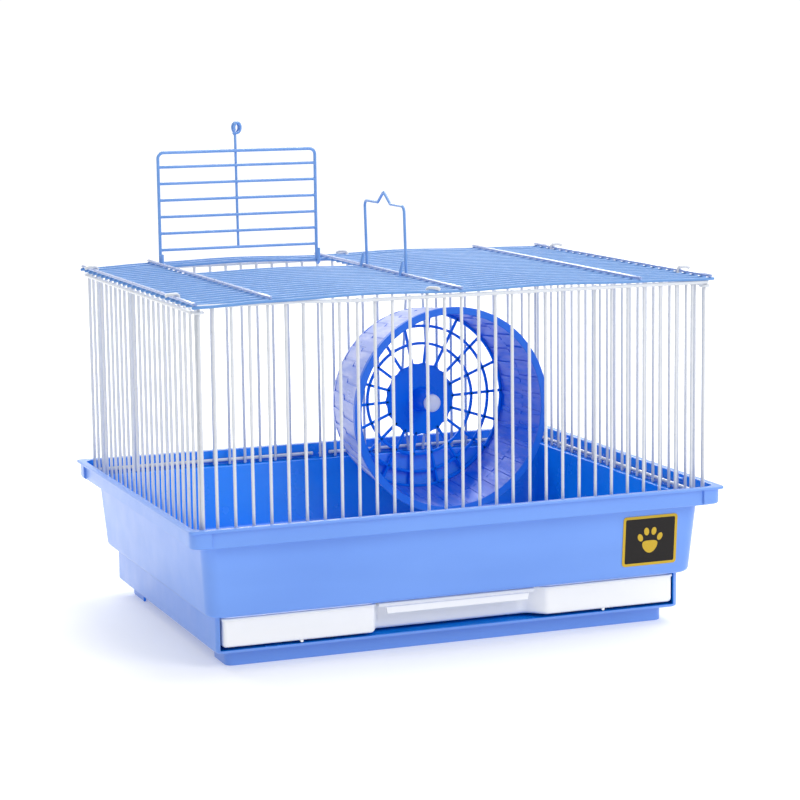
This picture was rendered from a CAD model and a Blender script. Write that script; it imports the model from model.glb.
"""Looks of a small hamster cage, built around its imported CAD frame. Lengths are in millimetres until a
mesh is made; +Z is up, the drawer side faces -Y, and +X runs to the right along the long side."""

import math
import random

import bmesh
import bpy
from mathutils import Matrix, Vector


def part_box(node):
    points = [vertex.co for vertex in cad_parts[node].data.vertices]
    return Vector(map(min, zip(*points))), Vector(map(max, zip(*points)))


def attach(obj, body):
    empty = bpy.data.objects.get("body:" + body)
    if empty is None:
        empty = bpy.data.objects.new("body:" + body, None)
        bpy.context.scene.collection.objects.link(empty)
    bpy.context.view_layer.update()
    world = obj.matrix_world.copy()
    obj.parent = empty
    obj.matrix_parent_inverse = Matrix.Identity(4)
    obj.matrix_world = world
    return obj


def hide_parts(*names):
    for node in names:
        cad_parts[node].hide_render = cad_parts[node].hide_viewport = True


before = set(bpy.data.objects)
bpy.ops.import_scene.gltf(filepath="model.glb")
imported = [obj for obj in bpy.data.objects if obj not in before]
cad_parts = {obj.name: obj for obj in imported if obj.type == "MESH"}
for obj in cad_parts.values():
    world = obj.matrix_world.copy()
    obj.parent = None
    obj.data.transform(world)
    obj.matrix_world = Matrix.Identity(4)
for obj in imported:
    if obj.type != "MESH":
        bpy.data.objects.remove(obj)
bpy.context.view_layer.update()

MM = 0.001
rng = random.Random(11)


def box_mm(node):
    """Lowest and highest corner of a CAD node, in millimetres."""
    low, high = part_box(node)
    return low / MM, high / MM


# ---------- frame sizes read from the CAD nodes ----------

tub_high = box_mm("base_tub")[1]
HALF_X, HALF_Y, RIM_Z = tub_high.x, tub_high.y, tub_high.z
WALL = 1.8
LEDGE_Z = 79.0
TIER_Z = 9.7
FLOOR_Z = TIER_Z + WALL
SHOULDER_Z = 33.0

PANEL_X, PANEL_Y = 167.5, 129.5
CORNER_X = 166.6
PITCH = 11.27
UPRIGHT_R = 1.0
RAIL_R = 1.2
RAIL_STEP = UPRIGHT_R + RAIL_R + 0.02
FOOT_Z = box_mm("front_uprights")[0].z
ROOF_Z = sum(v.z for v in box_mm("roof_wires_front")) / 2
BAR_Z = sum(v.z for v in box_mm("roof_handle_bar")) / 2
FRONT_RAIL_Z = sum(v.z for v in box_mm("front_top_rail")) / 2
SIDE_RAIL_Z = FRONT_RAIL_Z - 2.5
BOTTOM_RAIL_Z = 84.0

WHEEL = Vector((71.25, 122.0, 119.5))
WHEEL_WIDTH = 63.5
WHEEL_BACK_R = 66.0
WHEEL_FRONT_R = 72.5
BOSS_LENGTH = 23.5


# ---------- geometry in code ----------

class Shape:
    """Points and faces of one piece, in millimetres."""

    def __init__(self):
        self.points = []
        self.faces = []

    def add(self, points, faces):
        start = len(self.points)
        self.points += [Vector(p) for p in points]
        self.faces += [[start + i for i in face] for face in faces]


def ring_faces(n, r, s):
    """Quads between rings r and s of n points each."""
    return [[r * n + i, r * n + (i + 1) % n, s * n + (i + 1) % n, s * n + i] for i in range(n)]


def loft(shape, rings):
    """Joins closed rings of equal length, and caps both ends."""
    n, last = len(rings[0]), len(rings) - 1
    faces = [face for r in range(last) for face in ring_faces(n, r, r + 1)]
    faces += [list(range(n)), [last * n + i for i in range(n)]]
    shape.add([p for ring in rings for p in ring], faces)


def loop_loft(shape, rings):
    """Joins closed rings of equal length in a loop, as round a torus."""
    n, count = len(rings[0]), len(rings)
    faces = [face for r in range(count) for face in ring_faces(n, r, (r + 1) % count)]
    shape.add([p for ring in rings for p in ring], faces)


def rounded(corners, closed=False, steps=5):
    """Path of straight runs with an arc at each corner (x, y, radius). A radius of 0 keeps it sharp."""
    out = []
    n = len(corners)
    for i, (x, y, radius) in enumerate(corners):
        here = Vector((x, y))
        if radius == 0 or not closed and i in (0, n - 1):
            out.append(here)
            continue
        before = Vector(corners[i - 1][:2]) - here
        after = Vector(corners[(i + 1) % n][:2]) - here
        a, b = before.normalized(), after.normalized()
        half = math.acos(max(-1, min(1, a.dot(b)))) / 2
        reach = min(radius / math.tan(half), before.length * 0.49, after.length * 0.49)
        real = reach * math.tan(half)
        centre = here + (a + b).normalized() * (real / math.sin(half))
        start, end = here + a * reach - centre, here + b * reach - centre
        turn = start.angle_signed(end)
        for k in range(steps + 1):
            t = -turn * k / steps
            out.append(centre + Matrix.Rotation(t, 2) @ start)
    return out


def rect_ring(inset, z, corner_r):
    """Ring of a rectangle with round corners, inset from the rim's edge."""
    steps = 8
    hx, hy = HALF_X - inset, HALF_Y - inset
    ring = []
    for cx, cy, first in ((1, 1, 0), (-1, 1, 90), (-1, -1, 180), (1, -1, 270)):
        for k in range(steps + 1):
            a = math.radians(first + 90 * k / steps)
            ring.append(Vector((cx * (hx - corner_r) + corner_r * math.cos(a),
                                cy * (hy - corner_r) + corner_r * math.sin(a), z)))
    return ring


def frames_along(path, closed):
    """A tangent, normal and side for each point of a path, turning as little as possible."""
    n = len(path)
    tangents = []
    for i in range(n):
        before = path[i - 1] if closed or i > 0 else path[i]
        after = path[(i + 1) % n] if closed or i < n - 1 else path[i]
        tangents.append((after - before).normalized())
    normal = tangents[0].orthogonal().normalized()
    out = []
    for t in tangents:
        normal = (normal - t * normal.dot(t)).normalized()
        out.append((t, normal, t.cross(normal)))
    return out


def tube(shape, path, radius, sides=12, closed=False):
    """Round wire along a path, with softly rounded cut ends."""
    path = [Vector(p) for p in path]
    frames = frames_along(path, closed)

    def ring(centre, frame_at, r):
        _, u, v = frame_at
        return [centre + (u * math.cos(a) + v * math.sin(a)) * r
                for a in (2 * math.pi * k / sides for k in range(sides))]

    rings = [ring(p, f, radius) for p, f in zip(path, frames)]
    if closed:
        loop_loft(shape, rings)
        return
    soft = radius * 0.45
    first, last = frames[0], frames[-1]
    rings[0] = ring(path[0] + first[0] * soft, first, radius)
    rings[-1] = ring(path[-1] - last[0] * soft, last, radius)
    rings.insert(0, ring(path[0] + first[0] * soft * 0.3, first, radius * 0.88))
    rings.insert(0, ring(path[0], first, radius * 0.6))
    rings.append(ring(path[-1] - last[0] * soft * 0.3, last, radius * 0.88))
    rings.append(ring(path[-1], last, radius * 0.6))
    loft(shape, rings)


def straight(p, q, wobble, steps=4):
    """Points of a wire from p to q that strays from the line by up to wobble."""
    p, q = Vector(p), Vector(q)
    side = (q - p).orthogonal().normalized()
    other = (q - p).normalized().cross(side)
    lean = side * rng.uniform(-wobble, wobble) + other * rng.uniform(-wobble, wobble)
    return [p.lerp(q, k / steps) + lean * math.sin(math.pi * k / steps) for k in range(steps + 1)]


def ease(t):
    """Smooth step from 0 to 1."""
    t = max(0, min(1, t))
    return t * t * (3 - 2 * t)


def arc(centre, start, axis, degrees, steps):
    """Points of an arc that starts at centre + start and turns about axis."""
    return [Vector(centre) + Matrix.Rotation(math.radians(degrees * k / steps), 3, axis) @ Vector(start)
            for k in range(steps + 1)]


def blob(shape, centre, radii, around=8, levels=4):
    """Rounded lump of coating, such as the one that covers a spot weld."""
    centre, radii = Vector(centre), Vector(radii)
    rings = []
    for k in range(levels + 1):
        a = math.radians(12 + 156 * k / levels)
        wide, high = math.sin(a), radii.z * math.cos(a)
        turns = (2 * math.pi * j / around for j in range(around))
        rings.append([centre + Vector((radii.x * wide * math.cos(b), radii.y * wide * math.sin(b), high))
                      for b in turns])
    loft(shape, rings)


def lathe(shape, profile, place, steps):
    """Turns a closed loop of (radius, height) points, off the axis, about the place's own Z axis."""
    rings = []
    for k in range(steps):
        a = 2 * math.pi * k / steps
        rings.append([place @ Vector((r * math.cos(a), r * math.sin(a), h)) for r, h in profile])
    loop_loft(shape, rings)


def sweep(shape, path, section):
    """Pulls a closed (outward, level) section along a flat open path; outward is to the path's right."""
    rings = []
    for i, p in enumerate(path):
        before = path[max(i - 1, 0)]
        after = path[min(i + 1, len(path) - 1)]
        along = (after - before).normalized()
        out = Vector((along.y, -along.x))
        rings.append([Vector((p.x + out.x * o, p.y + out.y * o, z)) for o, z in section])
    loft(shape, rings)


def bar(shape, p, q, width, thick, normal):
    """Flat bar with softened edges from p to q, thick along normal."""
    p, q, normal = Vector(p), Vector(q), Vector(normal).normalized()
    side = (q - p).normalized().cross(normal)
    w, t, soft = width / 2, thick / 2, min(width, thick) * 0.2
    section = [(w, t - soft), (w - soft, t), (soft - w, t), (-w, t - soft),
               (-w, soft - t), (soft - w, -t), (w - soft, -t), (w, soft - t)]
    loft(shape, [[c + side * a + normal * b for a, b in section] for c in (p, q)])


def new_mesh(name, shape):
    """Mesh of a shape, in metres."""
    mesh = bpy.data.meshes.new(name)
    mesh.from_pydata([p * MM for p in shape.points], [], shape.faces)
    return mesh


def face_outwards(mesh, *more):
    """Adds more meshes to a mesh, and turns all its faces outwards."""
    bm = bmesh.new()
    for source in (mesh, *more):
        bm.from_mesh(source)
    bmesh.ops.recalc_face_normals(bm, faces=bm.faces)
    bm.to_mesh(mesh)
    bm.free()


def piece(name, shape, material, body, nodes, sharp=38):
    """Turns a shape into a piece that rides on a body and stands for its CAD nodes."""
    mesh = new_mesh(name, shape)
    face_outwards(mesh)
    return finish_piece(name, mesh, (material,), body, nodes, sharp)


def finish_piece(name, mesh, materials, body, nodes, sharp, second=()):
    """Shades a mesh and adds it to the frame. The faces in second take the second material."""
    mesh.shade_smooth()
    mesh.set_sharp_from_angle(angle=math.radians(sharp))
    mesh.materials.clear()
    for material in materials:
        mesh.materials.append(material)
    for i in second:
        mesh.polygons[i].material_index = 1
    obj = bpy.data.objects.new(name, mesh)
    bpy.context.scene.collection.objects.link(obj)
    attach(obj, body)
    if nodes:
        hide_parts(*nodes)
    return obj


def cut(shape, cutter):
    """Mesh of a shape less a cutter, both closed."""
    objs = []
    for solid in (shape, cutter):
        mesh = new_mesh("work", solid)
        face_outwards(mesh)
        obj = bpy.data.objects.new("work", mesh)
        bpy.context.scene.collection.objects.link(obj)
        objs.append(obj)
    mod = objs[0].modifiers.new("cut", "BOOLEAN")
    mod.operation = "DIFFERENCE"
    mod.solver = "EXACT"
    mod.object = objs[1]
    depsgraph = bpy.context.evaluated_depsgraph_get()
    mesh = bpy.data.meshes.new_from_object(objs[0].evaluated_get(depsgraph))
    for obj in objs:
        bpy.data.objects.remove(obj)
    return mesh


# ---------- materials ----------

class Nodes:
    """A material's node tree, with short calls to add and join nodes."""

    def __init__(self, name):
        self.material = bpy.data.materials.new(name)
        self.material.use_nodes = True
        self.tree = self.material.node_tree
        self.shader = self.tree.nodes["Principled BSDF"]
        coord = self.tree.nodes.new("ShaderNodeTexCoord")
        self.place = coord.outputs["Object"]

    def join(self, a, b):
        self.tree.links.new(a, b)

    def noise(self, scale, detail, stretch=None, roughness=0.5):
        """Noise over the object's own space, stretched along its axes if asked."""
        node = self.tree.nodes.new("ShaderNodeTexNoise")
        node.inputs["Scale"].default_value = scale
        node.inputs["Detail"].default_value = detail
        node.inputs["Roughness"].default_value = roughness
        if stretch:
            mapping = self.tree.nodes.new("ShaderNodeMapping")
            mapping.inputs["Scale"].default_value = stretch
            self.join(self.place, mapping.inputs["Vector"])
            self.join(mapping.outputs["Vector"], node.inputs["Vector"])
        else:
            self.join(self.place, node.inputs["Vector"])
        return node.outputs["Fac"]

    def span(self, value, low, high, from_low=0.3, from_high=0.7):
        """Maps a value, by default the range a noise covers, to low..high."""
        node = self.tree.nodes.new("ShaderNodeMapRange")
        node.inputs["From Min"].default_value = from_low
        node.inputs["From Max"].default_value = from_high
        node.inputs["To Min"].default_value = low
        node.inputs["To Max"].default_value = high
        self.join(value, node.inputs["Value"])
        return node.outputs["Result"]

    def mix(self, factor, a, b):
        """Colour between a and b, each a tuple or a socket."""
        node = self.tree.nodes.new("ShaderNodeMix")
        node.data_type = "RGBA"
        self.join(factor, node.inputs["Factor"])
        for value, socket in ((a, node.inputs[6]), (b, node.inputs[7])):
            if isinstance(value, tuple):
                socket.default_value = (*value, 1)
            else:
                self.join(value, socket)
        return node.outputs[2]

    def bump(self, height, strength, distance, after=None):
        """Normal bent by a height, on top of an earlier bump if given."""
        node = self.tree.nodes.new("ShaderNodeBump")
        node.inputs["Strength"].default_value = strength
        node.inputs["Distance"].default_value = distance
        self.join(height, node.inputs["Height"])
        if after:
            self.join(after, node.inputs["Normal"])
        return node.outputs["Normal"]

    def set(self, **values):
        """Sets constants on the shader; an underscore stands for a space in a socket's name."""
        for name, value in values.items():
            self.shader.inputs[name.replace("_", " ")].default_value = value


def moulded(name, colour, deep, rough, specular=0.5, coat=0.0):
    """Injection-moulded plastic: faint flow marks, a fine grain and uneven gloss."""
    n = Nodes(name)
    clouds = n.noise(14, 3)
    flow = n.noise(9, 2, stretch=(1, 1, 6))
    tone = n.mix(n.span(clouds, 0, 1), colour, deep)
    lighter = tuple(min(1, c * 1.06 + 0.004) for c in colour)
    n.join(n.mix(n.span(flow, 0, 0.5), tone, lighter), n.shader.inputs["Base Color"])
    n.join(n.span(n.noise(45, 4), rough - 0.05, rough + 0.06), n.shader.inputs["Roughness"])
    grain = n.bump(n.noise(2600, 2), 0.12, 0.00012)
    n.join(n.bump(n.noise(60, 1), 0.10, 0.0006, after=grain), n.shader.inputs["Normal"])
    n.set(IOR=1.5, Specular_IOR_Level=specular, Coat_Weight=coat, Coat_Roughness=0.14)
    return n.material


def brushed(name, colour, pale, rough, sheen=0.0):
    """The wheel's thin plastic, scuffed pale in streaks along its treads."""
    n = Nodes(name)
    streaks = n.noise(26, 4, stretch=(5, 0.8, 5), roughness=0.6)
    n.join(n.mix(n.span(streaks, 0, 1, 0.42, 0.64), colour, pale), n.shader.inputs["Base Color"])
    n.join(n.span(streaks, rough - 0.06, rough + 0.12), n.shader.inputs["Roughness"])
    n.join(n.bump(streaks, 0.15, 0.0004), n.shader.inputs["Normal"])
    n.set(IOR=1.5, Specular_IOR_Level=0.3)
    n.set(Sheen_Weight=sheen, Sheen_Roughness=0.35, Sheen_Tint=(0.84, 0.86, 1.0, 1))
    return n.material


def coated_wire(name, colour, shade, rough, coat):
    """Wire dipped in plastic coating: satin, slightly uneven, a touch darker where it pools."""
    n = Nodes(name)
    n.join(n.mix(n.span(n.noise(160, 3), 0, 1), colour, shade), n.shader.inputs["Base Color"])
    n.join(n.span(n.noise(420, 2), rough - 0.06, rough + 0.08), n.shader.inputs["Roughness"])
    n.join(n.bump(n.noise(700, 2), 0.25, 0.0002), n.shader.inputs["Normal"])
    n.set(IOR=1.5, Coat_Weight=coat, Coat_Roughness=0.12)
    return n.material


def printed(name, colour, fleck):
    """Printed vinyl film with a faint print grain under a thin gloss."""
    n = Nodes(name)
    n.join(n.mix(n.span(n.noise(3000, 2), 0, 1), colour, fleck), n.shader.inputs["Base Color"])
    n.join(n.span(n.noise(90, 2), 0.28, 0.4), n.shader.inputs["Roughness"])
    n.join(n.bump(n.noise(400, 2), 0.1, 0.0001), n.shader.inputs["Normal"])
    n.set(Specular_IOR_Level=0.2)
    return n.material


def steel(name):
    """Drawn steel rod with marks along its length."""
    n = Nodes(name)
    marks = n.noise(500, 3, stretch=(8, 0.4, 8))
    bright, dull = (0.62, 0.62, 0.63), (0.45, 0.45, 0.47)
    n.join(n.mix(n.span(marks, 0, 1), bright, dull), n.shader.inputs["Base Color"])
    n.join(n.span(marks, 0.22, 0.38), n.shader.inputs["Roughness"])
    n.set(Metallic=1.0)
    return n.material


TUB = moulded("tub_blue", (0.145, 0.312, 0.80), (0.128, 0.286, 0.77), 0.34, specular=0.42, coat=0.28)
TUB_INSIDE = moulded("tub_blue_inside", (0.002, 0.25, 0.93), (0.001, 0.225, 0.90), 0.24, specular=0.55)
DRAWER = moulded("drawer_white", (0.87, 0.875, 0.89), (0.84, 0.85, 0.87), 0.34)
WHEEL_WEB = moulded("wheel_blue", (0.001, 0.215, 0.88), (0.001, 0.19, 0.83), 0.30, specular=0.2)
WHEEL_RIM = moulded("wheel_blue_rim", (0.014, 0.165, 0.74), (0.010, 0.14, 0.70), 0.32, specular=0.35)
WHEEL_TREAD = brushed("wheel_blue_tread", (0.0, 0.17, 0.80), (0.16, 0.27, 0.80), 0.34)
WHEEL_FROSTED = brushed("wheel_blue_frosted", (0.22, 0.31, 0.72), (0.48, 0.52, 0.80), 0.32, sheen=0.6)
CAP = moulded("cap_white", (0.78, 0.80, 0.86), (0.72, 0.74, 0.82), 0.34)
WHITE_WIRE = coated_wire("white_coating", (0.67, 0.69, 0.73), (0.61, 0.64, 0.69), 0.32, 0.2)
BLUE_WIRE = coated_wire("blue_coating", (0.115, 0.285, 0.62), (0.095, 0.25, 0.57), 0.34, 0.15)
BLUE_BAR = coated_wire("blue_coating_worn_smooth", (0.24, 0.34, 0.64), (0.19, 0.29, 0.60), 0.30, 0.6)
BLUE_DOOR = coated_wire("blue_coating_door", (0.16, 0.345, 0.74), (0.13, 0.31, 0.69), 0.34, 0.3)
LABEL_BLACK = printed("label_black", (0.008, 0.007, 0.007), (0.016, 0.013, 0.012))
LABEL_YELLOW = printed("label_yellow", (0.62, 0.42, 0.035), (0.52, 0.34, 0.03))
AXLE = steel("axle_steel_rod")


# ---------- base ----------

def tub_rings():
    """Rings of the moulding: from the floor's underside, up the outside, over the rim and down inside."""
    tier, foot, band = 21.7, 15.2, 3.0
    # Inset from the rim's edge, height, radius of the edge in profile, radius of the corner in plan
    section = [
        (30.0, TIER_Z, 0, 3.0),
        (tier, TIER_Z, 1.6, 4.5),
        (tier, SHOULDER_Z, 0.6, 4.5),
        (foot, SHOULDER_Z + 0.1, 5.0, 9.0),
        (11.3, LEDGE_Z, 0.6, 9.0),
        (band, LEDGE_Z, 0.9, 9.0),
        (band, RIM_Z - WALL, 0.5, 9.0),
        (0.0, RIM_Z - WALL, 0.5, 3.0),
        (0.0, RIM_Z, 0.6, 3.0),
        (band + WALL, RIM_Z, 0.6, 7.2),
        (band + WALL, LEDGE_Z + WALL, 0.8, 7.2),
        (13.1, LEDGE_Z + WALL, 0.8, 7.2),
        (foot + WALL, SHOULDER_Z + WALL, 4.0, 7.2),
        (27.4, SHOULDER_Z + WALL, 0.6, 7.2),
        (27.4, SHOULDER_Z, 0.5, 7.2),
        (tier + WALL, SHOULDER_Z, 0.4, 3.0),
        (tier + WALL, FLOOR_Z, 0.8, 3.0),
        (32.0, FLOOR_Z, 0, 2.0),
    ]
    steps = 4
    path = rounded([(inset, z, r) for inset, z, r, _ in section], steps=steps)
    corners = [section[0][3]]
    for row in section[1:-1]:
        corners += [row[3]] * (steps + 1)
    corners.append(section[-1][3])
    return [rect_ring(p.x, p.y, c) for p, c in zip(path, corners)]


def box_shape(x0, x1, y0, y1, z0, z1):
    """Plain box, used only as a cutter."""
    shape = Shape()
    loft(shape, [[(x0, y0, z), (x1, y0, z), (x1, y1, z), (x0, y1, z)] for z in (z0, z1)])
    return shape


def plate_section(thick, z0, z1, soft):
    """Upright plate seen end on, with rounded lower edges."""
    return [(0, z1), (0, z0 + soft), (-soft * 0.3, z0 + soft * 0.3), (-soft, z0),
            (-thick + soft, z0), (-thick + soft * 0.3, z0 + soft * 0.3), (-thick, z0 + soft), (-thick, z1)]


def plinth(shape):
    """Foot rail along the front, two back feet and the low edges between them."""
    hx, hy, r = HALF_X - 29.6, HALF_Y - 29.6, 5.0
    front_run, back_run, edge_z, top = 25.0, 29.0, 5.8, TIER_Z + 0.6
    full = plate_section(WALL, 0.0, top, 0.7)
    low = plate_section(WALL, edge_z, top, 0.5)
    rail = [(-hx, front_run - hy, 0), (-hx, -hy, r), (hx, -hy, r), (hx, front_run - hy, 0)]
    sweep(shape, rounded(rail), full)
    for sx in (-1, 1):
        path = rounded([(sx * hx, hy - back_run, 0), (sx * hx, hy, r), (sx * (hx - front_run), hy, 0)])
        if sx < 0:
            path.reverse()
        sweep(shape, path, full)
        side = [Vector((sx * hx, front_run - hy)), Vector((sx * hx, hy - back_run))]
        if sx < 0:
            side.reverse()
        sweep(shape, side, low)
    sweep(shape, [Vector((hx - front_run, hy)), Vector((front_run - hx, hy))], low)


def corner_block(shape, sx, sy):
    """Thick block round a corner of the rim."""
    inset, r, reach = 1.5, 9.0, 12.5
    hx, hy = HALF_X - inset, HALF_Y - inset
    ends = (sx * (hx - reach), sy * hy, 0), (sx * hx, sy * (hy - reach), 0)
    path = rounded([ends[0], (sx * hx, sy * hy, r), ends[1]])
    if sx * sy > 0:
        path.reverse()
    z0, z1, thick = LEDGE_Z + 0.4, RIM_Z - WALL, 3.0
    body = [(0, z1), (0, z0 + 1.5), (-0.5, z0 + 0.5), (-1.5, z0), (-thick, z0), (-thick, z1)]
    start, end = path[0], path[-1]
    out_at_start = (path[1] - start).normalized()
    out_at_end = (end - path[-2]).normalized()
    rings = []
    for i, p in enumerate(path):
        before, after = path[max(i - 1, 0)], path[min(i + 1, len(path) - 1)]
        along = (after - before).normalized()
        out = Vector((along.y, -along.x))
        rings.append([Vector((p.x + out.x * o, p.y + out.y * o, z)) for o, z in body])
    taper = 0.35
    for ring_index, push in ((0, -out_at_start), (-1, out_at_end)):
        ring = rings[ring_index]
        out = (ring[0] - ring[5]).normalized()
        end_ring = [p + Vector((push.x, push.y, 0)) * taper - out * (taper if k < 3 else 0)
                    for k, p in enumerate(ring)]
        rings.insert(0 if ring_index == 0 else len(rings), end_ring)
    loft(shape, rings)


def tab(shape, sx, y):
    """Moulded snap tab on the inside of the rim, with a sloped underside."""
    x0, x1 = HALF_X - 4.8, HALF_X - 6.5
    z1 = RIM_Z - WALL
    section = [(x0 + 0.5, z1), (x1, z1 - 0.6), (x1, z1 - 1.6), (x0 + 0.5, z1 - 3.0)]
    loft(shape, [[(sx * x, y + dy, z) for x, z in section] for dy in (-3.5, 3.5)])


def inner_faces(mesh):
    """Faces that look into the tub or the drawer's space, where the plastic is a deeper blue."""
    out = []
    for face in mesh.polygons:
        c, n = face.center / MM, face.normal
        within = abs(c.x) < HALF_X - 3.2 and abs(c.y) < HALF_Y - 3.2 and c.z < RIM_Z - 0.9
        if within and (n.z > 0.5 or n.x * c.x / HALF_X + n.y * c.y / HALF_Y < -0.1):
            out.append(face.index)
    return out


def sag(mesh):
    """The long unsupported rim on the left bends down and inwards a little."""
    for v in mesh.vertices:
        p = v.co / MM
        if p.x < -120 and p.z > SHOULDER_Z:
            middle = math.cos(math.pi / 2 * min(1, abs(p.y) / (HALF_Y - 6)))
            share = middle * (p.z - SHOULDER_Z) / (RIM_Z - SHOULDER_Z)
            side = max(0, min(1, (-p.x - 120) / 35))
            v.co += Vector((1.2, 0, -1.6)) * share * side * MM


def base_tub():
    """The tub with the drawer's slot cut from its tier, its feet, corner blocks and snap tabs."""
    shell = Shape()
    loft(shell, tub_rings())
    slot_left, slot_right, slot_depth, tab_y = -153.9, 152.3, 30.7, 88.0
    slot = box_shape(slot_left, slot_right, -HALF_Y - 5, -HALF_Y + slot_depth,
                     FLOOR_Z + 0.15, SHOULDER_Z - 0.2)
    mesh = cut(shell, slot)
    more = Shape()
    plinth(more)
    for sx in (-1, 1):
        for sy in (-1, 1):
            corner_block(more, sx, sy)
            tab(more, sx, sy * tab_y)
    face_outwards(mesh, new_mesh("work", more))
    sag(mesh)
    finish_piece("tub_shell", mesh, (TUB, TUB_INSIDE), "base", ["base_tub"], 30,
                 inner_faces(mesh))


def label_place():
    """Frame of the front wall where the label sits: X along the wall, Y up the wall, Z outwards."""
    label_x = 130.6
    low = Vector((label_x, -(HALF_Y - 14.8), 39.0))
    high = Vector((label_x, -(HALF_Y - 11.3), LEDGE_Z + WALL))
    up = (high - low).normalized()
    out = Vector((1, 0, 0)).cross(up)
    m = Matrix((Vector((1, 0, 0)), up, out)).transposed().to_4x4()
    m.translation = low + up * 18.5 + out * 0.25
    return m


def flat_patch(shape, place, outline, z0, z1):
    """Thin layer with a given outline, from level z0 to z1 over the wall."""
    loft(shape, [[place @ Vector((p.x, p.y, z)) for p in outline] for z in (z0, z1)])


def round_rect(w, h, r):
    """Rectangle with round corners; w and h are half its width and height."""
    return rounded([(-w, -h, r), (w, -h, r), (w, h, r), (-w, h, r)], closed=True)


def oval(cx, cy, rx, ry, tilt):
    """Oval about (cx, cy), tilted by some degrees."""
    t, steps = math.radians(tilt), 20
    out = []
    for k in range(steps):
        a = 2 * math.pi * k / steps
        x, y = rx * math.cos(a), ry * math.sin(a)
        across, up = x * math.cos(t) - y * math.sin(t), x * math.sin(t) + y * math.cos(t)
        out.append(Vector((cx + across, cy + up)))
    return out


def front_label():
    """Dark sticker with a yellow border and a plain paw, in three thin layers."""
    place = label_place()
    w, h = 19.2, 16.4
    edge = Shape()
    flat_patch(edge, place, round_rect(w, h, 2.2), 0, 0.22)
    piece("label_border", edge, LABEL_YELLOW, "base", ["front_label"])
    field = Shape()
    flat_patch(field, place, round_rect(w - 1.8, h - 1.8, 1.0), 0.1, 0.27)
    piece("label_field", field, LABEL_BLACK, "base", [])
    paw = Shape()
    pad = [Vector((5.4 * math.cos(a), -3.2 + 4.1 * math.sin(a) + 0.9 * math.cos(2 * a)))
           for a in (2 * math.pi * k / 36 for k in range(36))]
    flat_patch(paw, place, pad, 0.2, 0.32)
    for cx, cy, tilt in ((-6.9, 2.2, 24), (-2.6, 6.0, 8), (2.6, 6.0, -8), (6.9, 2.2, -24)):
        flat_patch(paw, place, oval(cx, cy, 1.75, 2.6, tilt), 0.2, 0.32)
    piece("label_paw", paw, LABEL_YELLOW, "base", [])


# ---------- drawer ----------

def drawer_outline(inset, sizes):
    """Plan of the drawer inside its outer skin, with the finger recess in its front."""
    left, right, front, back, recess, depth = sizes
    d = inset
    convex, concave = max(3.0 - d, 0.4), 2.2 + d
    return rounded([
        (left + d, front + d, convex),
        (-recess - 5 - d * 0.8, front + d, max(2.0 - d, 0.4)),
        (-recess - d, front + depth + d, concave),
        (recess + d, front + depth + d, 7.0 + d),
        (recess + 12 + d * 0.6, front + d, max(7.0 - d, 1.0)),
        (right - d, front + d, convex),
        (right - d, back - d, max(4.5 - d, 1.0)),
        (left + d, back - d, max(4.5 - d, 1.0)),
    ], closed=True, steps=5)


def drawer_tray():
    """Open tray with a lipped front, a finger recess, a pull tab, runners and nubs."""
    low, high = box_mm("drawer_tray")
    left, right, top = -152.4, 151.2, high.z
    front, back = low.y + 0.8, high.y
    bottom, skin = 13.4, 1.6
    sizes = (left, right, front, back, 50.0, 9.0)
    profile = rounded([
        (5.0, bottom, 0), (0, bottom, 4.2), (0, top - 1.7, 0.3), (-0.7, top - 1.5, 0.2),
        (-0.7, top, 0.5), (skin, top, 0.5), (skin, bottom + skin, 2.2), (5.0, bottom + skin, 0),
    ], steps=4)
    body = Shape()
    loft(body, [[Vector((p.x, p.y, q.y)) for p in drawer_outline(q.x, sizes)] for q in profile])

    # Pull tab: a shelf over the recess with a narrower lip that turns down at its front, with slanted ends
    y0, y1, drop = front - 0.4, front + 10.2, 7.0
    shelf = [(y0 + 0.7, top - 2.4), (y0 + 0.7, top - 0.4), (y0 + 1.1, top), (y1, top), (y1, top - 1.6),
             (y0 + 1.9, top - 2.4)]
    loft(body, [[Vector((x, y, z)) for y, z in shelf] for x in (-51.5, 53.5)])
    lip = [(y0, top - drop + 0.3), (y0, top - 2.9), (y0 + 0.5, top - 2.4), (y0 + 1.6, top - 2.2),
           (y0 + 1.6, top - drop + 0.3), (y0 + 1.3, top - drop), (y0 + 0.3, top - drop)]
    ends = ((-47.5, 1), (50.0, -1))
    loft(body, [[Vector((x + lean * (top - z) * 0.2, y, z)) for y, z in lip] for x, lean in ends])
    runner_x, runner = 130, [(-2, 13.8), (-1.6, 11.95), (1.6, 11.95), (2, 13.8)]
    nub_x, nub = 102, [(-0.9, 13.9), (-0.9, 12.9), (-0.4, 12.4), (0.4, 12.4), (0.9, 12.9), (0.9, 13.9)]
    for sx in (-1, 1):
        loft(body, [[(sx * runner_x + dx, y, z) for dx, z in runner] for y in (-100, 100)])
        loft(body, [[(sx * nub_x + dx, front + y, z) for dx, z in nub] for y in (0.6, 2.6)])
    piece("drawer_body", body, DRAWER, "drawer", ["drawer_tray"], 32)


# ---------- wire panels ----------

def weld(shape, wire, rail, along):
    """Coating that pools between two crossed wires."""
    centre = (Vector(wire) + Vector(rail)) / 2
    radii = Vector((0.8, 0.8, 0.85))
    radii["xyz".index(along)] = 1.1
    blob(shape, centre, radii)


def white(name, shape, nodes):
    """White coated wire of the top."""
    piece(name, shape, WHITE_WIRE, "wire_top", nodes, 60)


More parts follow.
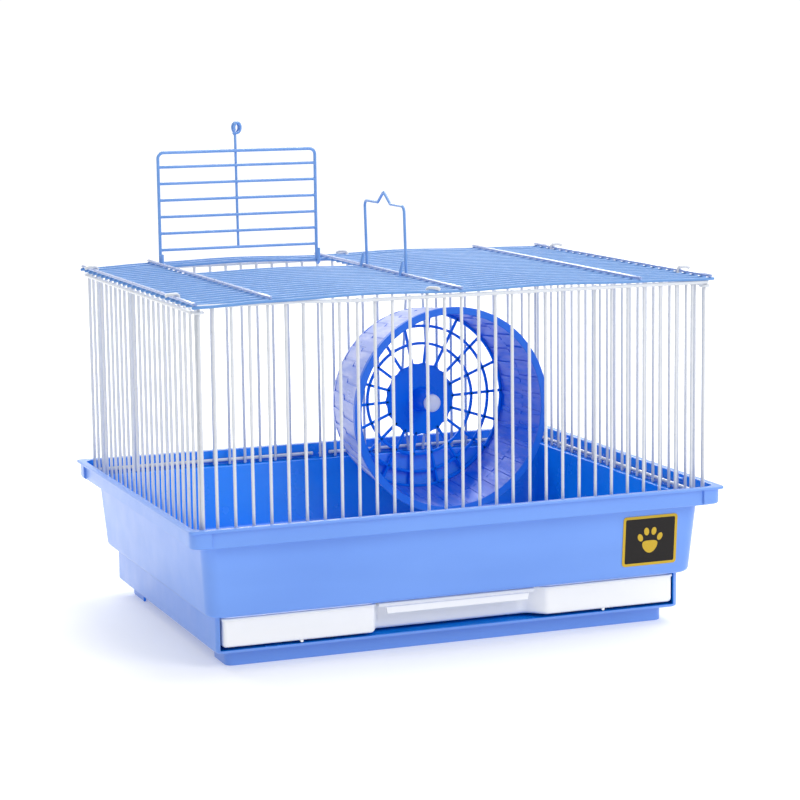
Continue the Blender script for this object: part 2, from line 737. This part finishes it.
def hook_path(foot, side, tail_z):
    """Upright that runs up through the roof and bends over its edge, with its tail pointing to side."""
    side = Vector((*side, 0)).normalized()
    bend_r, tail = 1.9, 5.6
    top = Vector((*foot, tail_z - bend_r))
    path = straight((*foot, FOOT_Z), top, 0.1, 6)
    axis = Vector((0, 0, 1)).cross(side)
    path += arc(top + side * bend_r, -side * bend_r, axis, 90, 6)[1:]
    end = path[-1]
    for share, droop in ((0.6, 0), (0.9, 0.3), (1.15, 1.1)):
        path.append(end + side * tail * share - Vector((0, 0, droop)))
    return path


def rail_z(x, back):
    """The front panel's top rail rises a little towards its left end."""
    lift = 0 if back else 1.2 * ease((-x - 60) / 50)
    return FRONT_RAIL_Z + lift


def long_panel(prefix, sy):
    """Front (sy -1) or back (sy 1) panel."""
    back = sy > 0
    if back:
        shift, hook_step, tail_to = -2.0, 2, (-0.75, 0.66)
    else:
        shift, hook_step, tail_to = 0.0, -2, (0.8, -0.6)
    y, rail_y = sy * PANEL_Y, sy * (PANEL_Y + RAIL_STEP)
    top = FRONT_RAIL_Z + 1.5
    uprights, hook, top_rail, bottom_rail = Shape(), Shape(), Shape(), Shape()
    reach = CORNER_X + 1.5
    xs = []
    for k in range(-14, 15):
        x = k * PITCH + shift
        xs.append(x)
        if back and abs(x - WHEEL.x) < PITCH:
            continue
        if k == hook_step:
            tube(hook, hook_path((x, y), tail_to, ROOF_Z + roof_bow(x) + 2.2), UPRIGHT_R)
        else:
            lean = rng.uniform(-0.12, 0.12)
            tube(uprights, straight((x, y, FOOT_Z), (x + lean, y, top), 0.18), UPRIGHT_R)
    if back:
        for side in (-1, 1):
            tube(uprights, bowed(side), UPRIGHT_R)
            xs.append(WHEEL.x + side * PITCH / 2)
    for corner in (-CORNER_X, CORNER_X):
        tube(uprights, straight((corner, y, FOOT_Z), (corner, y, top - 0.5), 0.1), UPRIGHT_R)
        xs.append(corner)
    tube(top_rail, [(x, rail_y, rail_z(x, back)) for x in (k * reach / 12 for k in range(-12, 13))], RAIL_R)
    # The back's bottom wire has a seam
    runs, bend = (((-reach, -7.0), (5.0, reach)), 0.2) if back else (((-reach, reach),), 0.1)
    for x0, x1 in runs:
        run = straight((x0, rail_y, BOTTOM_RAIL_Z), (x1, rail_y, BOTTOM_RAIL_Z), bend, 8)
        tube(bottom_rail, run, RAIL_R)
    for x in xs:
        for z, rail in ((rail_z(x, back), top_rail), (BOTTOM_RAIL_Z, bottom_rail)):
            weld(rail, (x, y, z), (x, rail_y, z), "x")
    white(prefix + "_upright_wires", uprights, [prefix + "_uprights"])
    white(prefix + "_hook", hook, [prefix + "_hook_wire"])
    white(prefix + "_top_wire", top_rail, [prefix + "_top_rail"])
    white(prefix + "_bottom_wire", bottom_rail, [prefix + "_bottom_rail"])


def bowed(side):
    """Back upright that bows round the wheel's mount."""
    x0, out = WHEEL.x + side * PITCH / 2, WHEEL.x + side * 11.05
    bow_top = 205.0
    corners = [(x0, FOOT_Z, 0), (x0, BOTTOM_RAIL_Z, 12), (out, WHEEL.z, 26),
               (x0, bow_top, 40), (x0, FRONT_RAIL_Z + 1.5, 0)]
    return [Vector((p.x, PANEL_Y, p.y)) for p in rounded(corners, steps=6)]


def side_panel(prefix, sx):
    """Left (sx -1) or right (sx 1) panel."""
    x, rail_x = sx * PANEL_X, sx * (PANEL_X + RAIL_STEP)
    gaps, end_y, ring_r, ring_wire = 22, 126.5, 2.5, 0.95
    uprights, hooks, top_rail, bottom_rail = Shape(), Shape(), Shape(), Shape()
    for k in range(gaps + 1):
        y = -end_y + k * 2 * end_y / gaps
        ends = k in (0, gaps)
        top = SIDE_RAIL_Z - ring_wire - 0.02 if ends else SIDE_RAIL_Z + 1.5
        if k in (3, 20):
            tube(hooks, hook_path((x, y), (sx, 0), BAR_Z + roof_bow(x) + 2.1), UPRIGHT_R)
        else:
            lean = 0 if ends else rng.uniform(-0.2, 0.2)
            tube(uprights, straight((x, y, FOOT_Z), (x, y + lean, top), 0.1), UPRIGHT_R)
        if not ends:
            weld(top_rail, (x, y, SIDE_RAIL_Z), (rail_x, y, SIDE_RAIL_Z), "y")
        weld(bottom_rail, (x, y, BOTTOM_RAIL_Z), (rail_x, y, BOTTOM_RAIL_Z), "y")
    rail_end = PANEL_Y - ring_r - 0.4
    run = straight((rail_x, -rail_end, SIDE_RAIL_Z), (rail_x, rail_end, SIDE_RAIL_Z), 0.1, 8)
    tube(top_rail, run, RAIL_R)
    for sy in (-1, 1):
        end = Vector((rail_x, sy * rail_end, SIDE_RAIL_Z))
        centre = Vector((sx * CORNER_X, sy * PANEL_Y, SIDE_RAIL_Z))
        tube(top_rail, [end - Vector((0, sy, 0)), end, centre - Vector((0, sy * ring_r, 0))], ring_wire)
        tube(top_rail, arc(centre, (ring_r, 0, 0), Vector((0, 0, 1)), 345, 23), ring_wire, closed=True)
    bottom_end = end_y + 1.5
    run = straight((rail_x, -bottom_end, BOTTOM_RAIL_Z), (rail_x, bottom_end, BOTTOM_RAIL_Z), 0.1, 8)
    tube(bottom_rail, run, RAIL_R)
    white(prefix + "_upright_wires", uprights, [prefix + "_uprights"])
    white(prefix + "_hooks", hooks, [prefix + "_hook_wires"])
    white(prefix + "_top_wire", top_rail, [prefix + "_top_rail"])
    white(prefix + "_bottom_wire", bottom_rail, [prefix + "_bottom_rail"])


# ---------- roof ----------

ROOF_PITCH = 11.05
ROOF_END = 171.8
EDGE_ROW, OPENING_ROW, HINGE_ROW = 12, 4, 10
LEFT_END, LEFT_BAR, HANDLE_BAR, RIGHT_BAR, RIGHT_END = -169.9, -123.4, -1.5, 119.5, 168.8


def roof_bow(x):
    """The roof arches a little between the handle's bar and the bars beside it, and drops at its ends."""
    span = RIGHT_BAR - HANDLE_BAR
    t = (x - HANDLE_BAR) / span
    if abs(t) < 1:
        return 0.2 + 1.3 * math.sin(math.pi * t) ** 2
    return 0.2 - (1.8 if t < 0 else 0.7) * ease((abs(t) - 1) * span / 48)


def blue(name, shape, nodes, body="wire_top", material=BLUE_WIRE):
    """Blue coated wire."""
    piece(name, shape, material, body, nodes, 60)


def roof_run(name, node, first, last, x0, x1, bars):
    """Long roof wires of rows first to last, from x0 to x1, with welds under the bars they meet."""
    wires = Shape()
    steps = 30
    for k in range(first, last + 1):
        y = k * ROOF_PITCH
        hinge = k == HINGE_ROW
        sway = 0.0 if hinge else rng.uniform(-0.2, 0.2)
        path = []
        for i in range(steps + 1):
            x = x0 + (x1 - x0) * i / steps
            out = -1.4 * ease((-x - 60) / 50) if k == -EDGE_ROW else 0
            lift = roof_bow(x) - (0.2 if hinge else 0)
            path.append((x, y + out + sway * math.sin(math.pi * i / steps), ROOF_Z + lift))
        tube(wires, path, UPRIGHT_R, 10)
        for bar_x in bars:
            blob(wires, (bar_x, y, ROOF_Z + roof_bow(bar_x) + 1.0), (0.85, 0.9, 0.6))
    blue(name, wires, [node])


def roof():
    """Long wires, cut away round the door's opening, and the bars laid across them."""
    all_bars = (LEFT_END, LEFT_BAR, HANDLE_BAR, RIGHT_BAR, RIGHT_END)
    cut_rows = OPENING_ROW + 1, HINGE_ROW - 1
    roof_run("roof_front_wires", "roof_wires_front", -EDGE_ROW, OPENING_ROW, -ROOF_END, ROOF_END, all_bars)
    roof_run("roof_rear_wires", "roof_wires_rear", HINGE_ROW, EDGE_ROW, -ROOF_END, ROOF_END, all_bars)
    roof_run("roof_left_wires", "roof_wires_left", *cut_rows, -ROOF_END, LEFT_BAR + 0.8, all_bars[:2])
    roof_run("roof_right_wires", "roof_wires_right", *cut_rows, HANDLE_BAR - 0.8, ROOF_END, all_bars[2:])
    bar_end = 134.4
    names = ("left_end", "left", "handle", "right", "right_end")
    for name, x in zip(names, all_bars):
        shape = Shape()
        z = BAR_Z + (0 if name == "handle" else roof_bow(x))
        tube(shape, straight((x, -bar_end, z), (x, bar_end, z), 0.0, 10), UPRIGHT_R)
        blue("roof_" + name + "_wire", shape, ["roof_" + name + "_bar"], material=BLUE_BAR)


# ---------- roof door ----------

DOOR_LEFT, DOOR_RIGHT = -120.8, -8.2
HINGE_Y = 110.5
DOOR_Y = HINGE_Y + 2.3
DOOR_TOP = 301.4


def roof_door():
    """U frame with hairpins round the hinge wire, six bars, and a centre wire with a coil."""
    frame_wire, bars, latch = Shape(), Shape(), Shape()
    r, bar_r, hairpin_r, hairpin_up = 1.1, 1.0, 2.3, 8.4

    def hairpin(x):
        bend = arc((x, HINGE_Y, ROOF_Z), (0, -hairpin_r, 0), Vector((1, 0, 0)), 180, 10)
        return [Vector((x, HINGE_Y - hairpin_r, ROOF_Z + hairpin_up))] + bend

    last_bar = DOOR_TOP - 66.0

    def out(x, z):
        """The door's free edge stands off and bulges like the roof wires it closes on."""
        rise = max(0, (z - last_bar) / (DOOR_TOP - last_bar))
        across = (x - DOOR_LEFT) / (DOOR_RIGHT - DOOR_LEFT)
        return DOOR_Y + rise * (0.3 + 1.5 * math.sin(math.pi * across) ** 2)

    def bulged(points, behind=0.0):
        return [Vector((x, out(x, z) + behind, z)) for x, _, z in points]

    middle = (DOOR_LEFT + DOOR_RIGHT) / 2
    top_edge = [(DOOR_LEFT + (DOOR_RIGHT - DOOR_LEFT) * k / 8, DOOR_TOP, 0) for k in range(1, 8)]
    left_leg = [(DOOR_LEFT, ROOF_Z + 4, 0), (DOOR_LEFT, DOOR_TOP, 4)]
    right_leg = [(DOOR_RIGHT, DOOR_TOP, 4), (DOOR_RIGHT, ROOF_Z + 4, 0)]
    over = rounded(left_leg + top_edge + right_leg, steps=6)
    path = hairpin(DOOR_LEFT) + bulged([(p.x, 0, p.y) for p in over]) + hairpin(DOOR_RIGHT)[::-1]
    tube(frame_wire, path, r)
    behind = r + 0.9 + 0.02
    for k in range(6):
        z = last_bar + 11.24 * k
        tube(bars, bulged(straight((DOOR_LEFT + 0.4, 0, z), (DOOR_RIGHT - 0.4, 0, z), 0.12, 8)), bar_r)
        for x in (DOOR_LEFT + 0.7, DOOR_RIGHT - 0.7):
            blob(bars, (x, out(x, z), z), (1.3, 1.15, 1.25))
        blob(bars, (middle, out(middle, z) + 0.95, z), (1.1, 1.0, 1.2))
    loop_z = ROOF_Z + 93.3
    stem = bulged(straight((middle, 0, last_bar - 0.3), (middle, 0, loop_z - 6.0), 0.1, 8), behind)
    loop_y = stem[-1].y + 1.0
    curl = []
    turns, steps, travel = 1.9, 48, 3.4
    for k in range(steps + 1):
        t = k / steps
        a = math.radians(-110 + 360 * turns * t)
        across = 0.7 + 2.6 * math.cos(a) + 1.5 * (t - 0.5)
        curl.append(Vector((middle + across, loop_y - travel * t, loop_z - 0.9 + 3.6 * math.sin(a))))
    tube(latch, stem + curl, 0.9)
    blob(latch, (middle, out(middle, DOOR_TOP) + 1.0, DOOR_TOP), (1.2, 1.0, 1.2))
    blue("door_frame_wire", frame_wire, ["door_frame"], "roof_door", BLUE_DOOR)
    blue("door_cross_bars", bars, ["door_bars"], "roof_door", BLUE_DOOR)
    blue("door_latch_loop", latch, ["door_latch_wire"], "roof_door", BLUE_DOOR)


# ---------- handle ----------

def handle():
    """Bent wire handle with a peak in its middle and hairpins round the handle's bar."""
    shape = Shape()
    r, hairpin_r, hairpin_up, lean, half = 0.95, 2.15, 8.0, 1.9, 36.0
    leg_x = HANDLE_BAR + hairpin_r
    peak = box_mm("carry_handle")[1].z - r - 0.4
    top = peak - 6.8

    def hairpin(y):
        bend = arc((HANDLE_BAR, y, BAR_Z), (-hairpin_r, 0, 0), Vector((0, -1, 0)), 180, 10)
        return [Vector((HANDLE_BAR - hairpin_r + lean, y, BAR_Z + hairpin_up))] + bend

    peak_foot = 11.4
    over = rounded([(-half, BAR_Z + 4, 0), (-half, top, 4), (-peak_foot, top, 2.0), (0, peak + 0.6, 1.6),
                    (peak_foot, top, 2.0), (half, top, 4), (half, BAR_Z + 4, 0)], steps=6)
    tilt = 1.0 / (top - BAR_Z)
    bow = [Vector((leg_x - tilt * (p.y - BAR_Z), p.x, p.y)) for p in over]
    tube(shape, hairpin(-half) + bow + hairpin(half)[::-1], r)
    blue("carry_handle_wire", shape, ["carry_handle"], "handle", BLUE_DOOR)


# ---------- exercise wheel ----------

def on_axle(y=WHEEL.y):
    """Frame whose Z axis points from the wheel's back to its open front."""
    return Matrix.Translation((WHEEL.x, y, WHEEL.z)) @ Matrix.Rotation(math.radians(90), 4, "X")


def drum_radius(s):
    """Outer radius of the tapered drum at a distance s from its back."""
    return WHEEL_BACK_R + (WHEEL_FRONT_R - WHEEL_BACK_R) * s / WHEEL_WIDTH


def tread_row(shape, s0, s1, phase):
    """Row of treads round the drum. Each steps down a little to the next and has a rib on its edge."""
    place = on_axle()
    count = 36
    pitch = 360 / count
    skin, step, rib, groove = 1.3, 0.35, 0.8, 0.6
    # Degrees round, drop of the outside, height of the rib inside
    marks = [(0.0, groove, rib - groove), (0.9, groove, rib - groove), (1.0, 0.0, rib),
             (2.2, 0.05, rib), (2.5, 0.05, 0.0), (pitch - 0.3, step, 0.0)]
    rings = []
    for k in range(count):
        for degrees, drop, inward in marks:
            a = math.radians(k * pitch + phase + degrees)
            ring = []
            for s, face in ((s0, 0), (s1, 0), (s1, 1), (s0, 1)):
                r = drum_radius(s) - drop - (skin + inward if face else 0)
                ring.append(place @ Vector((r * math.cos(a), r * math.sin(a), s)))
            rings.append(ring)
    loop_loft(shape, rings)


def wheel_drum():
    """Two rows of treads between a back ring and a wide front rim."""
    shape = Shape()
    place = on_axle()
    tread_row(shape, 3.0, 30.5, 0.0)
    tread_row(shape, 30.5, 58.6, 2.6)
    back = [(WHEEL_BACK_R, 0.4), (drum_radius(3.4), 3.4), (drum_radius(3.4) - 2.2, 3.4),
            (WHEEL_BACK_R - 1.8, 2.4), (WHEEL_BACK_R - 1.8, 0.0), (WHEEL_BACK_R - 0.4, 0.0)]
    lathe(shape, back, place, 144)
    r = WHEEL_FRONT_R
    end = WHEEL_WIDTH
    front = [(drum_radius(58.2), 58.2), (r - 0.5, end - 1.6), (r, end - 1.2), (r, end - 0.4), (r - 0.4, end),
             (r - 4.6, end), (r - 5.0, end - 0.4), (r - 5.0, end - 1.2), (r - 4.6, end - 1.6),
             (r - 2.4, end - 1.7), (r - 2.2, 58.2)]
    lathe(shape, front, place, 144)
    drum = piece("wheel_tread_drum", shape, WHEEL_TREAD, "wheel", ["wheel_drum"], 28)
    drum.data.materials.append(WHEEL_FROSTED)
    drum.data.materials.append(WHEEL_RIM)
    # Second material outside, third on the front rim
    for face in drum.data.polygons:
        out = Vector((face.center.x / MM - WHEEL.x, 0, face.center.z / MM - WHEEL.z))
        depth = WHEEL.y - face.center.y / MM
        if depth > 58.6:
            face.material_index = 2
        elif out.length > drum_radius(depth) - 1.1 and face.normal.dot(out.normalized()) > 0.3:
            face.material_index = 1


def wheel_web():
    """Flat spoked back: three rings, the spokes, a many-sided hub disc and the tapered boss."""
    shape = Shape()
    place = on_axle()
    thick, rib, spokes, hub_r, turn = 2.0, 2.0, 18, 25.6, 2.2
    outer = WHEEL_BACK_R - 1.8
    soft = 0.35
    for r in (40.2, 52.8, outer - rib / 2):
        a, b = r - rib / 2, r + rib / 2
        section = [(a, soft), (a + soft, 0), (b - soft, 0), (b, soft),
                   (b, thick - soft), (b - soft, thick), (a + soft, thick), (a, thick - soft)]
        lathe(shape, section, place, 108)
    normal = place.to_3x3() @ Vector((0, 0, 1))
    for k in range(spokes):
        a = math.radians(turn + k * 360 / spokes)
        ends = []
        for r in (hub_r - 1.5, outer - 0.4):
            ends.append(place @ Vector((r * math.cos(a), r * math.sin(a), thick / 2)))
        bar(shape, ends[0], ends[1], rib, thick, normal)
    # Hub disc: flat sides between the spokes
    disc = []
    for k in range(spokes):
        a = math.radians(turn + k * 360 / spokes)
        disc.append((a, hub_r + 0.9))
        disc.append((a + math.pi / spokes, hub_r - 0.3))
    rings = []
    for z, drop in ((0, soft), (soft, 0), (thick - soft, 0), (thick, soft)):
        ring = [Vector(((r - drop) * math.cos(a), (r - drop) * math.sin(a), z)) for a, r in disc]
        rings.append([place @ p for p in ring])
    hole = []
    for z in (thick, 0):
        hole.append([place @ Vector((2.2 * math.cos(a), 2.2 * math.sin(a), z)) for a, _ in disc])
    loop_loft(shape, rings + hole)
    boss = [(2.15, 0.2), (9.6, 0.2), (9.6, thick), (8.6, thick + 0.6), (8.1, thick + 1.8),
            (7.9, 5.0), (6.6, 22.6), (6.0, BOSS_LENGTH), (2.15, BOSS_LENGTH)]
    lathe(shape, boss, place, 48)
    piece("wheel_spoked_back", shape, WHEEL_WEB, "wheel", ["wheel_web", "wheel_boss"], 32)


def axle_parts():
    """Domed cap, steel rod, plug between the bowed wires and the nut outside."""
    cap = Shape()
    dome = [(0.01, 0.0), (5.9, 0.0), (6.3, 0.4), (6.3, 1.4), (5.7, 2.1), (4.2, 2.6), (2.2, 2.9), (0.01, 3.0)]
    lathe(cap, dome, on_axle(WHEEL.y - BOSS_LENGTH - 0.4), 40)
    piece("axle_cap_dome", cap, CAP, "wire_top", ["axle_cap"], 40)
    low, high = box_mm("wheel_axle")
    depth = high.y - low.y
    rod = Shape()
    section = [(0.01, 0.0), (1.6, 0.0), (2.0, 0.4), (2.0, depth - 0.4), (1.6, depth), (0.01, depth)]
    lathe(rod, section, on_axle(high.y), 24)
    piece("axle_rod", rod, AXLE, "wire_top", ["wheel_axle"], 40)
    low, high = box_mm("wheel_mount")
    depth = high.y - low.y
    plug = Shape()
    section = [(2.1, 0.0), (9.5, 0.0), (9.8, 0.3), (9.8, 2.4), (12.6, 2.4), (13.0, 2.8), (13.0, 4.2),
               (12.4, 4.7), (4.6, 4.7), (4.0, 5.3), (4.0, depth - 0.3), (3.7, depth), (2.1, depth)]
    lathe(plug, section, on_axle(high.y), 48)
    piece("axle_plug", plug, CAP, "wire_top", ["wheel_mount"], 40)
    low, high = box_mm("wheel_mount_nut")
    depth = high.y - low.y
    nut = Shape()
    section = [(2.1, 0.0), (11.9, 0.0), (13.0, 0.9), (13.0, depth - 0.2), (12.8, depth), (2.1, depth)]
    lathe(nut, section, on_axle(high.y), 48)
    # Grip ridges round the nut
    for k in range(12):
        a = math.radians(30 * k)
        p = on_axle(high.y) @ Vector((12.75 * math.cos(a), 12.75 * math.sin(a), depth / 2))
        blob(nut, p, (0.5, depth * 0.4, 0.5), 6, 3)
    piece("axle_nut", nut, CAP, "wire_top", ["wheel_mount_nut"], 40)


# ---------- camera, light and floor ----------

def camera():
    """Long lens from the front left, a little above the rim."""
    yaw, pitch, roll = math.radians(21.164), math.radians(8.492), math.radians(-0.696)
    forward = Vector((math.sin(yaw) * math.cos(pitch), math.cos(yaw) * math.cos(pitch), -math.sin(pitch)))
    right = Vector((math.cos(yaw), -math.sin(yaw), 0))
    up = right.cross(forward)
    level_right = right * math.cos(roll) + up * math.sin(roll)
    level_up = up * math.cos(roll) - right * math.sin(roll)
    data = bpy.data.cameras.new("camera")
    data.lens = 110.4
    data.sensor_width = 36
    data.clip_end = 50
    obj = bpy.data.objects.new("camera", data)
    bpy.context.scene.collection.objects.link(obj)
    m = Matrix((level_right, level_up, -forward)).transposed().to_4x4()
    m.translation = Vector((-572.03, -1501.47, 379.34)) * MM
    obj.matrix_world = m
    bpy.context.scene.camera = obj


def area_light(name, at, towards, size, power):
    """White rectangular light that points at a place."""
    data = bpy.data.lights.new(name, "AREA")
    data.shape = "RECTANGLE"
    data.size, data.size_y = size
    data.energy = power
    obj = bpy.data.objects.new(name, data)
    obj.location = at
    obj.rotation_euler = (Vector(towards) - Vector(at)).to_track_quat("-Z", "Y").to_euler()
    bpy.context.scene.collection.objects.link(obj)


def studio():
    """White sweep: an overexposed floor and backdrop, soft light from the front right and a strip behind."""
    scene = bpy.context.scene
    scene.view_settings.view_transform = "Standard"
    world = bpy.data.worlds.new("studio")
    world.use_nodes = True
    tree = world.node_tree
    sky = tree.nodes["Background"]
    sky.inputs["Color"].default_value = (1, 1, 1, 1)
    rays = tree.nodes.new("ShaderNodeLightPath")
    soft = 0.60
    strength = None
    for ray, seen in (("Is Glossy Ray", 0.80), ("Is Camera Ray", 1.05)):
        step = tree.nodes.new("ShaderNodeMath")
        step.operation = "MULTIPLY_ADD"
        step.inputs[1].default_value = seen - soft
        step.inputs[2].default_value = soft
        tree.links.new(rays.outputs[ray], step.inputs[0])
        if strength:
            tree.links.new(strength, step.inputs[2])
        strength = step.outputs["Value"]
    tree.links.new(strength, sky.inputs["Strength"])
    scene.world = world
    area_light("key", (1.1, -1.9, 1.5), (0, 0, 0.1), (1.2, 1.2), 22)
    area_light("strip", (-0.1, 1.9, 1.3), (0, 0, 0.2), (2.4, 0.5), 34)
    data = bpy.data.lights.new("overhead", "SUN")
    data.energy = 1.7
    data.angle = math.radians(50)
    sun = bpy.data.objects.new("overhead", data)
    sun.rotation_euler = Vector((0.55, 0.25, 1.0)).to_track_quat("Z", "Y").to_euler()
    scene.collection.objects.link(sun)
    floor = bpy.data.meshes.new("floor")
    side = 9.0
    corners = [(-side, -side, 0), (side, -side, 0), (side, side, 0), (-side, side, 0)]
    floor.from_pydata(corners, [], [(0, 1, 2, 3)])
    n = Nodes("pale_floor")
    grey = n.mix(n.span(n.noise(3, 2), 0, 1), (0.74, 0.74, 0.74), (0.77, 0.77, 0.77))
    n.join(grey, n.shader.inputs["Base Color"])
    n.set(Roughness=0.8, Specular_IOR_Level=0.1, Emission_Color=(1, 1, 1, 1), Emission_Strength=0.30)
    floor.materials.append(n.material)
    obj = bpy.data.objects.new("floor", floor)
    scene.collection.objects.link(obj)


camera()
studio()
base_tub()
front_label()
drawer_tray()
long_panel("front", -1)
long_panel("back", 1)
side_panel("left", -1)
side_panel("right", 1)
roof()
roof_door()
handle()
wheel_drum()
wheel_web()
axle_parts()
